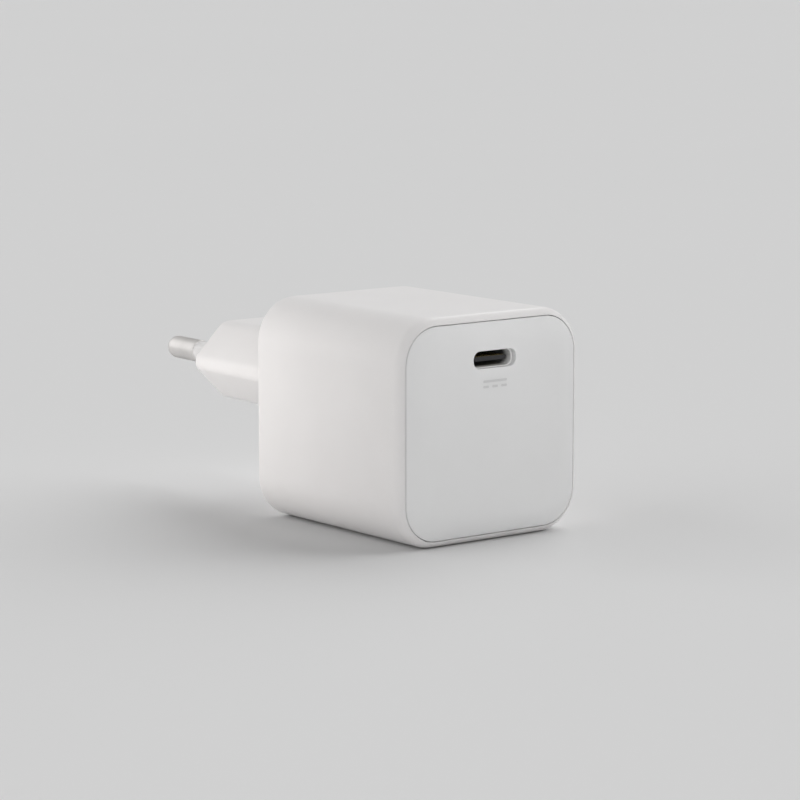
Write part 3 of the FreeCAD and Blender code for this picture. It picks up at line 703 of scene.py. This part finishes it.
def dress_nodes(paint: Paint) -> None:
    """Give every node of the frame the finish that its slot names.

    Args:
        paint: The materials by slot.
    """
    for part in frame["record"]["subparts"]:
        node = frame["nodes"][part["node"]]
        node.data.materials.clear()
        node.data.materials.append(paint[part["material_slot"]])
        log.info("%s is dressed in %s", part["node"], part["material_slot"])


@dataclass
class FrontPanel:
    """White cover at the front: crowned face, port slot, locating lip and the sign for direct current."""

    corner_round: float = 6.2 * MM
    corner_steps: int = 16
    crown_round: float = 8.6 * MM
    crown_lean: float = 27.0
    crown_steps: int = 8
    rim: float = 1.6 * MM
    edge_break: float = 0.05 * MM
    edge_steps: int = 2
    lip_inset: float = 0.8 * MM
    lip_wall: float = 1.0 * MM
    slot_width: float = 8.94 * MM
    slot_height: float = 2.9 * MM
    slot_round: float = 1.3 * MM
    slot_lip: float = 0.15 * MM
    slot_lip_steps: int = 3
    opening_steps: int = 10
    skin: float = 1.0 * MM
    seat_width: float = 9.24 * MM
    seat_height: float = 3.56 * MM
    seat_round: float = 1.65 * MM
    sign_drop: float = 3.4 * MM
    sign_width: float = 5.0 * MM
    sign_line: float = 0.4 * MM
    sign_gap: float = 0.5 * MM
    sign_dashes: int = 3
    sign_dash_share: float = 0.62
    sign_depth: float = 0.04 * MM
    sign_sink: float = 0.004 * MM
    stroke_round_share: float = 0.3
    stroke_steps: int = 4

    def build(self) -> None:
        """Model the cover and the inlaid sign."""
        low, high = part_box("front_panel")
        self.front = low[1]
        self.seam = self.front + self.crown_round * (1 - math.cos(math.radians(self.crown_lean)))
        self.ledge = self.seam + self.rim
        self.middle = sum(corner[2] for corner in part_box("port_insulator")) / 2
        start, end = (low[0], self.seam, low[2]), (high[0], self.ledge, high[2])
        self.panel = Workpiece.block("crowned_panel", start, end)
        self.panel.round_edges(along_depth, self.corner_round, self.corner_steps)
        self.panel.round_over(facing_front, self.crown_round, (self.crown_lean, 0.0), self.crown_steps)
        self.panel.round_edges(self.at_seam, self.edge_break, self.edge_steps)
        lip = high[1] - self.ledge
        back = Vector((0.0, 1.0, 0.0))
        self.panel.step_out(facing_back, back, (self.lip_inset, lip), (self.lip_wall, -lip))
        self.panel.cut_with(self.opening(self.slot_width, self.slot_height, self.slot_round, -self.skin))
        self.panel.round_edges(self.at_slot, self.slot_lip, self.slot_lip_steps)
        self.panel.cut_with(self.opening(self.seat_width, self.seat_height, self.seat_round, self.skin))
        for stroke in self.strokes(-self.sign_depth):
            self.panel.cut_with(stroke)
        self.sign, *rest = self.strokes(self.sign_sink)
        self.sign.take_in(rest)

    def at_seam(self, first: Vector, second: Vector) -> bool:
        """Pass the edges of the cover's outline at the seam."""
        return abs(first.y - self.seam) < NEAR and abs(second.y - self.seam) < NEAR

    def at_slot(self, first: Vector, second: Vector) -> bool:
        """Pass the edges round the slot's mouth.

        Args:
            first: One end of the edge.
            second: Its other end.

        Returns:
            Whether the edge is one of them.
        """
        reach = self.slot_width / 2 + NEAR
        rise = self.slot_height / 2 + NEAR
        return all(
            abs(end.y - self.front) < NEAR and abs(end.x) < reach and abs(end.z - self.middle) < rise
            for end in (first, second)
        )

    def opening(self, width: float, height: float, corner: float, depth: float) -> Workpiece:
        """Return a round-cornered bar that cuts an opening through the cover.

        Args:
            width: The opening's width.
            height: The opening's height.
            corner: The opening's corner radius.
            depth: How far behind the front face the bar starts.

        Returns:
            The bar.
        """
        low = (-width / 2, self.front + depth, self.middle - height / 2)
        high = (width / 2, self.ledge + self.rim, self.middle + height / 2)
        bar = Workpiece.block("opening", low, high)
        bar.round_edges(along_depth, corner, self.opening_steps)
        return bar

    def strokes(self, sink: float) -> list[Workpiece]:
        """Return the strokes of the sign: a bar over a row of dashes.

        Args:
            sink: How far behind the front face the strokes begin.

        Returns:
            One piece for each stroke.
        """
        top = self.middle - self.sign_drop
        dash = self.sign_width / (self.sign_dashes - 1 + self.sign_dash_share) * self.sign_dash_share
        pitch = dash / self.sign_dash_share
        spans = [(-self.sign_width / 2, self.sign_width, top)]
        for index in range(self.sign_dashes):
            spans.append((-self.sign_width / 2 + index * pitch, dash, top - self.sign_line - self.sign_gap))
        strokes = []
        for left, length, height in spans:
            low = (left, self.front + sink, height - self.sign_line)
            high = (left + length, self.front + self.sign_depth, height)
            stroke = Workpiece.block("direct_current_sign", low, high)
            stroke.round_edges(along_depth, self.sign_line * self.stroke_round_share, self.stroke_steps)
            strokes.append(stroke)
        return strokes

    def dress(self, paint: Paint) -> None:
        """Give the cover its plastic and the sign its ink."""
        self.panel.finish(paint["panel_plastic"], "panel_plastic", "front_panel")
        self.sign.finish(paint["sign_ink"], "panel_plastic")


@dataclass
class PlugPins:
    """Turned pins of the plug: slim core, shoulder beyond the sleeve and a rounded tip."""

    root_pitch: float = 18.6 * MM
    tip_pitch: float = 17.5 * MM
    length: float = 19.0 * MM
    tail: float = 11.0 * MM
    core_radius: float = 1.5 * MM
    radius: float = 2.0 * MM
    sleeve_radius: float = 1.8 * MM
    sleeve_length: float = 10.0 * MM
    shoulder: float = 0.3 * MM
    tip_round: float = 1.5 * MM
    tip_steps: int = 8
    pins: list[Workpiece] = field(default_factory=list)

    def build(self) -> None:
        """Turn one pin, copy it, and set both on the plug's end, leaning towards the middle."""
        plug_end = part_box("housing_shell")[1][1]
        low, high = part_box("plug_pin_left")
        lean = math.atan((self.root_pitch - self.tip_pitch) / 2 / self.length)
        first = Workpiece.turned("turned_pin_left", self.outline())
        self.pins = [first, first.copy("turned_pin_right")]
        for pin, side in zip(self.pins, (-1.0, 1.0)):
            pin.place((0.0, 0.0, 0.0), (-math.pi / 2, 0.0, 0.0))
            pin.place((side * self.root_pitch / 2, plug_end, (low[2] + high[2]) / 2), (0.0, 0.0, side * lean))

    def outline(self) -> Outline:
        """Draw the pin's outline from its tail to the flat of its tip.

        Returns:
            Height and radius of each ring.
        """
        rings = [
            (-self.tail, self.core_radius),
            (self.sleeve_length, self.core_radius),
            (self.sleeve_length, self.sleeve_radius),
            (self.sleeve_length + self.shoulder, self.radius),
        ]
        for step in range(self.tip_steps + 1):
            angle = math.pi / 2 * step / self.tip_steps
            height = self.length - self.tip_round * (1 - math.sin(angle))
            rings.append((height, self.radius - self.tip_round * (1 - math.cos(angle))))
        return rings

    def dress(self, paint: Paint) -> None:
        """Give both pins their plated metal."""
        for pin, node in zip(self.pins, ("plug_pin_left", "plug_pin_right")):
            pin.finish(paint["pin_metal"], "pin_metal", node)


@dataclass
class CanCapacitor:
    """Round capacitor under the board: crimped can, bare vented end and two leads."""

    node: str
    slot: str
    lead_pitch: float
    lead_radius: float = 0.3 * MM
    lead_sides: int = 20
    foot_round: float = 0.6 * MM
    foot_steps: int = 5
    recess: float = 0.15 * MM
    crimp_height: float = 2.4 * MM
    crimp_reach: float = 0.7 * MM
    crimp_share: float = 0.94
    end_share: float = 0.75
    end_face_share: float = 0.95
    score_share: float = 0.7
    score_width: float = 0.25 * MM
    score_depth: float = 0.06 * MM

    def build(self) -> None:
        """Turn the can, its end and its leads, and hang them from the board."""
        low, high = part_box(self.node)
        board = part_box("main_board")[0][2]
        self.radius = (high[0] - low[0]) / 2
        self.length = board - low[2]
        place = ((low[0] + high[0]) / 2, (low[1] + high[1]) / 2, low[2])
        self.can = Workpiece.turned(f"{self.node}_can", self.outline())
        self.end = Workpiece.turned(f"{self.node}_end", self.end_outline())
        for across, along in ((1.0, 0.0), (0.0, 1.0)):
            self.end.cut_with(self.score(across, along))
        tip = high[2] - low[2]
        rod = ((self.length, self.lead_radius), (tip, self.lead_radius))
        self.leads = Workpiece.turned(f"{self.node}_leads", rod, self.lead_sides)
        other = self.leads.copy("lead")
        self.leads.place((-self.lead_pitch / 2, 0.0, 0.0))
        other.place((self.lead_pitch / 2, 0.0, 0.0))
        self.leads.take_in([other])
        for piece in (self.can, self.end, self.leads):
            piece.place(place)

    def outline(self) -> Outline:
        """Draw the can's outline from the recess in its foot to the sealed top.

        Returns:
            Height and radius of each ring.
        """
        inner = self.radius * self.end_share
        rings = [(self.recess, inner), (0.0, inner)]
        for step in range(self.foot_steps + 1):
            angle = math.pi / 2 * step / self.foot_steps
            height = self.foot_round * (1 - math.cos(angle))
            rings.append((height, self.radius - self.foot_round * (1 - math.sin(angle))))
        middle = self.length - self.crimp_height
        waist = self.radius * self.crimp_share
        rings += [
            (middle - self.crimp_reach, self.radius),
            (middle, waist),
            (middle + self.crimp_reach, self.radius),
            (self.length - self.foot_round, self.radius),
            (self.length, self.radius - self.foot_round),
        ]
        return rings

    def end_outline(self) -> Outline:
        """Return the outline of the bare end that fills the recess."""
        edge = self.radius * self.end_share
        return ((self.recess, edge), (self.recess / 2, edge), (self.recess / 4, edge * self.end_face_share))

    def score(self, across: float, along: float) -> Workpiece:
        """Make a bar that scores the end.

        Args:
            across: One for a score across the can, else zero.
            along: One for a score from front to back, else zero.

        Returns:
            The bar.
        """
        reach = self.radius * self.end_share * self.score_share
        half = Vector((across, along, 0.0)) * reach + Vector((along, across, 0.0)) * self.score_width / 2
        half.z = self.score_depth
        middle = Vector((0.0, 0.0, self.recess / 4))
        return Workpiece.block("score", middle - half, middle + half)

    def dress(self, paint: Paint) -> None:
        """Give the can its sleeve or bare metal, and the rest bare metal.

        Args:
            paint: The materials by slot.
        """
        self.can.finish(paint[self.slot], self.slot, self.node)
        self.end.finish(paint["output_can"], "output_can")
        self.leads.finish(paint["output_can"], "output_can")


@dataclass
class ChokeWinding:
    """Turns of enamelled wire round one side of the choke's ring, with two leads up to the board."""

    node: str
    side: float
    turns: int = 6
    pitch: float = 19.0
    wire: float = 0.36 * MM
    clearance: float = 0.04 * MM
    bend: float = 0.48 * MM
    bore_radius: float = 2.6 * MM
    lead_radius: float = 0.3 * MM
    lead_sides: int = 20
    lead_reach: float = 5.0 * MM
    lead_spacing: float = 1.8 * MM

    def build(self) -> None:
        """Bend one turn, copy it round the ring, and add the leads."""
        low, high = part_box("choke_core")
        centre = (Vector(low) + Vector(high)) / 2
        outer = (high[0] - low[0]) / 2
        middle = (outer + self.bore_radius) / 2
        room = self.wire + self.clearance - self.bend
        straight = ((outer - self.bore_radius) / 2 + room, (high[1] - low[1]) / 2 + room)
        first = Workpiece.wire_turn(f"{self.node}_turns", self.bend, self.wire, straight)
        coil = [first] + [first.copy("turn") for _ in range(self.turns - 1)]
        for number, turn in enumerate(coil):
            swing = math.radians((number - (self.turns - 1) / 2) * self.pitch)
            out = Vector((self.side * math.cos(swing), 0.0, math.sin(swing)))
            turn.place(centre + out * middle, (0.0, math.atan2(-out.z, out.x), 0.0))
        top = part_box(self.node)[1][2] - centre.z
        for row in (-0.5, 0.5):
            rod = ((0.0, self.lead_radius), (top, self.lead_radius))
            lead = Workpiece.turned("lead", rod, self.lead_sides)
            lead.place(centre + Vector((self.side * self.lead_reach, row * self.lead_spacing, 0.0)))
            coil.append(lead)
        self.winding = first
        self.winding.take_in(coil[1:])

    def dress(self, paint: Paint) -> None:
        """Give the wire its enamel."""
        self.winding.finish(paint["enamel_wire"], "enamel_wire", self.node)


@dataclass
class SolderJoints:
    """Solder round every lead that comes up through the board."""

    nodes: tuple[str, ...]
    outline: Outline = (
        (0.0, 0.7 * MM),
        (0.08 * MM, 0.64 * MM),
        (0.22 * MM, 0.48 * MM),
        (0.42 * MM, 0.37 * MM),
        (0.6 * MM, 0.32 * MM),
    )
    sides: int = 24
    lead_width: float = 1.2 * MM

    def build(self) -> None:
        """Model one joint and copy it to every lead."""
        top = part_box("main_board")[1][2]
        first = Workpiece.turned("solder_joints", self.outline, self.sides)
        places = [end for node in self.nodes for end in self.lead_ends(node)]
        joints = [first] + [first.copy("joint") for _ in places[1:]]
        for joint, (across, depth) in zip(joints, places):
            joint.place((across, depth, top))
        first.take_in(joints[1:])
        self.joints = first

    def lead_ends(self, node: str) -> list[tuple[float, float]]:
        """Find where a node's leads end above the board.

        Args:
            node: The node's name.

        Returns:
            The middle of each lead's end, across and in depth.
        """
        points = frame["nodes"][node].data.vertices
        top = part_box(node)[1][2]
        groups: list[list[Vector]] = []
        for point in (vertex.co for vertex in points if vertex.co.z > top - NEAR):
            close = [group for group in groups if (group[0] - point).length < self.lead_width]
            if close:
                close[0].append(point)
            else:
                groups.append([point])
        middles = []
        for group in groups:
            across = [point.x for point in group]
            depth = [point.y for point in group]
            middles.append(((min(across) + max(across)) / 2, (min(depth) + max(depth)) / 2))
        return middles

    def dress(self, paint: Paint) -> None:
        """Give the joints their bright solder."""
        self.joints.finish(paint["output_can"], "output_can")


class Lit(Enum):
    """What a light shines on."""

    OBJECT = "object"
    FLOOR = "floor"


def shine_on(light: bpy.types.Object, lit: Lit) -> None:
    """Let a light shine on one thing only.

    Args:
        light: The light.
        lit: What it shines on.
    """
    group = bpy.data.collections.new(f"lit_by_{light.name}")
    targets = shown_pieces() if lit is Lit.OBJECT else [bpy.data.objects[FLOOR_NAME]]
    for target in targets:
        group.objects.link(target)
    light.light_linking.receiver_collection = group


@dataclass(frozen=True)
class FarLight:
    """A soft light far away, placed by its turn from the front to the right and its height, in degrees."""

    name: str
    turn: float
    rise: float
    strength: float
    spread: float = 80.0
    glossy: bool = False
    matt: bool = True
    lit: Lit = Lit.OBJECT

    def hang(self) -> None:
        """Add the light to the scene."""
        data = bpy.data.lights.new(self.name, "SUN")
        data.energy = self.strength
        data.angle = math.radians(self.spread)
        light = bpy.data.objects.new(self.name, data)
        side, up = math.radians(self.turn), math.radians(self.rise)
        ray = Vector((-math.sin(side) * math.cos(up), math.cos(side) * math.cos(up), -math.sin(up)))
        light.rotation_euler = ray.to_track_quat("-Z", "Y").to_euler()
        light.visible_glossy = self.glossy
        light.visible_diffuse = self.matt
        bpy.context.scene.collection.objects.link(light)
        shine_on(light, self.lit)


@dataclass(frozen=True)
class NearLamp:
    """A small lamp near the object, which lights the object but not the floor."""

    name: str
    place: Point
    target: Point
    size: float
    power: float
    colour: Colour = (1.0, 1.0, 1.0)

    def hang(self) -> None:
        """Add the lamp to the scene."""
        data = bpy.data.lights.new(self.name, "AREA")
        data.size = self.size
        data.energy = self.power
        data.color = self.colour
        lamp = bpy.data.objects.new(self.name, data)
        lamp.location = self.place
        lamp.visible_camera = False
        lamp.visible_glossy = False
        aim = Vector(self.target) - Vector(self.place)
        lamp.rotation_euler = aim.to_track_quat("-Z", "Y").to_euler()
        bpy.context.scene.collection.objects.link(lamp)
        shine_on(lamp, Lit.OBJECT)


@dataclass
class Studio:
    """Pale floor, soft lights and the camera."""

    floor_size: float = 20.0
    floor_colour: Colour = (0.762, 0.762, 0.762)
    floor_roughness: float = 0.9
    floor_cloud: float = 0.4
    floor_drift: float = 0.002
    air_light: float = 0.11
    air_tone: float = 0.63
    far_lights: tuple[FarLight, ...] = (
        FarLight("window_light", 60.0, 35.0, 0.60),
        FarLight("back_light", 120.0, 35.0, 2.10),
        FarLight("fill_light", 330.0, 12.0, 1.50),
        FarLight("side_light", 240.0, 12.0, 0.60),
        FarLight("pin_light", 218.0, 10.0, 0.45, glossy=True),
        FarLight("edge_light", 130.0, 33.0, 0.11, spread=12.0, glossy=True, matt=False),
        FarLight("floor_right_light", 90.0, 35.0, 2.68, lit=Lit.FLOOR),
        FarLight("floor_left_light", 240.0, 12.0, 1.71, lit=Lit.FLOOR),
        FarLight("floor_back_light", 180.0, 12.0, 0.87, lit=Lit.FLOOR),
    )
    near_lamps: tuple[NearLamp, ...] = (
        NearLamp(
            "warm_lamp",
            place=(-63 * MM, 39 * MM, 26 * MM),
            target=(0.0, 0.0, 19 * MM),
            size=30 * MM,
            power=0.0112,
            colour=(1.0, 0.97, 0.945),
        ),
        NearLamp(
            "brow_lamp",
            place=(2 * MM, -43 * MM, 42 * MM),
            target=(2 * MM, -21 * MM, 36 * MM),
            size=12 * MM,
            power=0.00045,
        ),
    )
    camera_place: Point = (-0.33158, -0.421965, 0.10368)
    azimuth: float = -37.859
    elevation: float = 8.739
    lens: float = 144.06
    sensor: float = 36.0

    def build(self) -> None:
        """Set the floor, the lights, the surroundings and the camera."""
        self.lay_floor()
        self.fill_air()
        for light in self.far_lights:
            light.hang()
        for lamp in self.near_lamps:
            lamp.hang()
        self.aim_camera()

    def lay_floor(self) -> None:
        """Lay a wide pale floor under the object."""
        bpy.ops.mesh.primitive_plane_add(size=self.floor_size)
        floor = bpy.context.object
        floor.name = FLOOR_NAME
        bench = NodeBench("floor_paper")
        bench.set(Roughness=self.floor_roughness, Specular_IOR_Level=0.0)
        clouds = bench.noise(self.floor_cloud)
        low, high = (shade(self.floor_colour, 1 + way * self.floor_drift) for way in (-1.0, 1.0))
        bench.join(bench.tones(clouds, low, high), "Base Color")
        floor.data.materials.append(bench.material)
        floor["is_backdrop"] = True

    def fill_air(self) -> None:
        """Light the surroundings evenly, and show them pale to the camera and in reflections."""
        world = bpy.data.worlds.new("studio_air")
        world.use_nodes = True
        tree = world.node_tree
        glow = tree.nodes["Background"]
        tone = tree.nodes.new("ShaderNodeBackground")
        for node, strength in ((glow, self.air_light), (tone, self.air_tone)):
            node.inputs["Color"].default_value = (1.0, 1.0, 1.0, 1.0)
            node.inputs["Strength"].default_value = strength
        path = tree.nodes.new("ShaderNodeLightPath")
        seen = path.outputs["Is Camera Ray"]
        for ray in ("Is Glossy Ray", "Is Transmission Ray"):
            either = tree.nodes.new("ShaderNodeMath")
            either.operation = "MAXIMUM"
            tree.links.new(seen, either.inputs[0])
            tree.links.new(path.outputs[ray], either.inputs[1])
            seen = either.outputs[0]
        blend = tree.nodes.new("ShaderNodeMixShader")
        tree.links.new(seen, blend.inputs[0])
        tree.links.new(glow.outputs[0], blend.inputs[1])
        tree.links.new(tone.outputs[0], blend.inputs[2])
        tree.links.new(blend.outputs[0], tree.nodes["World Output"].inputs["Surface"])
        bpy.context.scene.world = world

    def aim_camera(self) -> None:
        """Stand the camera where the photograph was taken from."""
        data = bpy.data.cameras.new("view")
        data.lens = self.lens
        data.sensor_width = self.sensor
        camera = bpy.data.objects.new("view", data)
        turn = math.radians(self.azimuth)
        rise = math.radians(self.elevation)
        back = Vector((math.sin(turn) * math.cos(rise), -math.cos(turn) * math.cos(rise), math.sin(rise)))
        right = Vector((math.cos(turn), math.sin(turn), 0.0))
        axes = Matrix((right, back.cross(right), back)).transposed()
        camera.matrix_world = Matrix.Translation(self.camera_place) @ axes.to_4x4()
        bpy.context.scene.collection.objects.link(camera)
        bpy.context.scene.camera = camera


ASSEMBLIES = (
    FrontPanel(),
    PlugPins(),
    CanCapacitor("bulk_capacitor_front", "bulk_sleeve", 5.0 * MM),
    CanCapacitor("bulk_capacitor_back", "bulk_sleeve", 5.0 * MM),
    CanCapacitor("output_capacitor_left", "output_can", 2.5 * MM),
    CanCapacitor("output_capacitor_right", "output_can", 2.5 * MM),
    ChokeWinding("choke_winding_left", -1.0),
    ChokeWinding("choke_winding_right", 1.0),
    SolderJoints(
        (
            "bulk_capacitor_front",
            "bulk_capacitor_back",
            "output_capacitor_left",
            "output_capacitor_right",
            "choke_winding_left",
            "choke_winding_right",
            "filter_capacitor",
            "filter_inductor",
            "safety_capacitor",
            "fuse",
            "transformer_bobbin",
            "port_shell",
        )
    ),
)


def main() -> None:
    """Build and dress every piece."""
    logging.basicConfig(level=logging.INFO, format="%(message)s")
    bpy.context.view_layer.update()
    paint = {finish.slot: finish.material() for finish in FINISHES}
    dress_nodes(paint)
    for assembly in ASSEMBLIES:
        assembly.build()
        assembly.dress(paint)
    Studio().build()
    bpy.context.scene.view_settings.view_transform = "Standard"


if __name__ == "__main__":
    main()
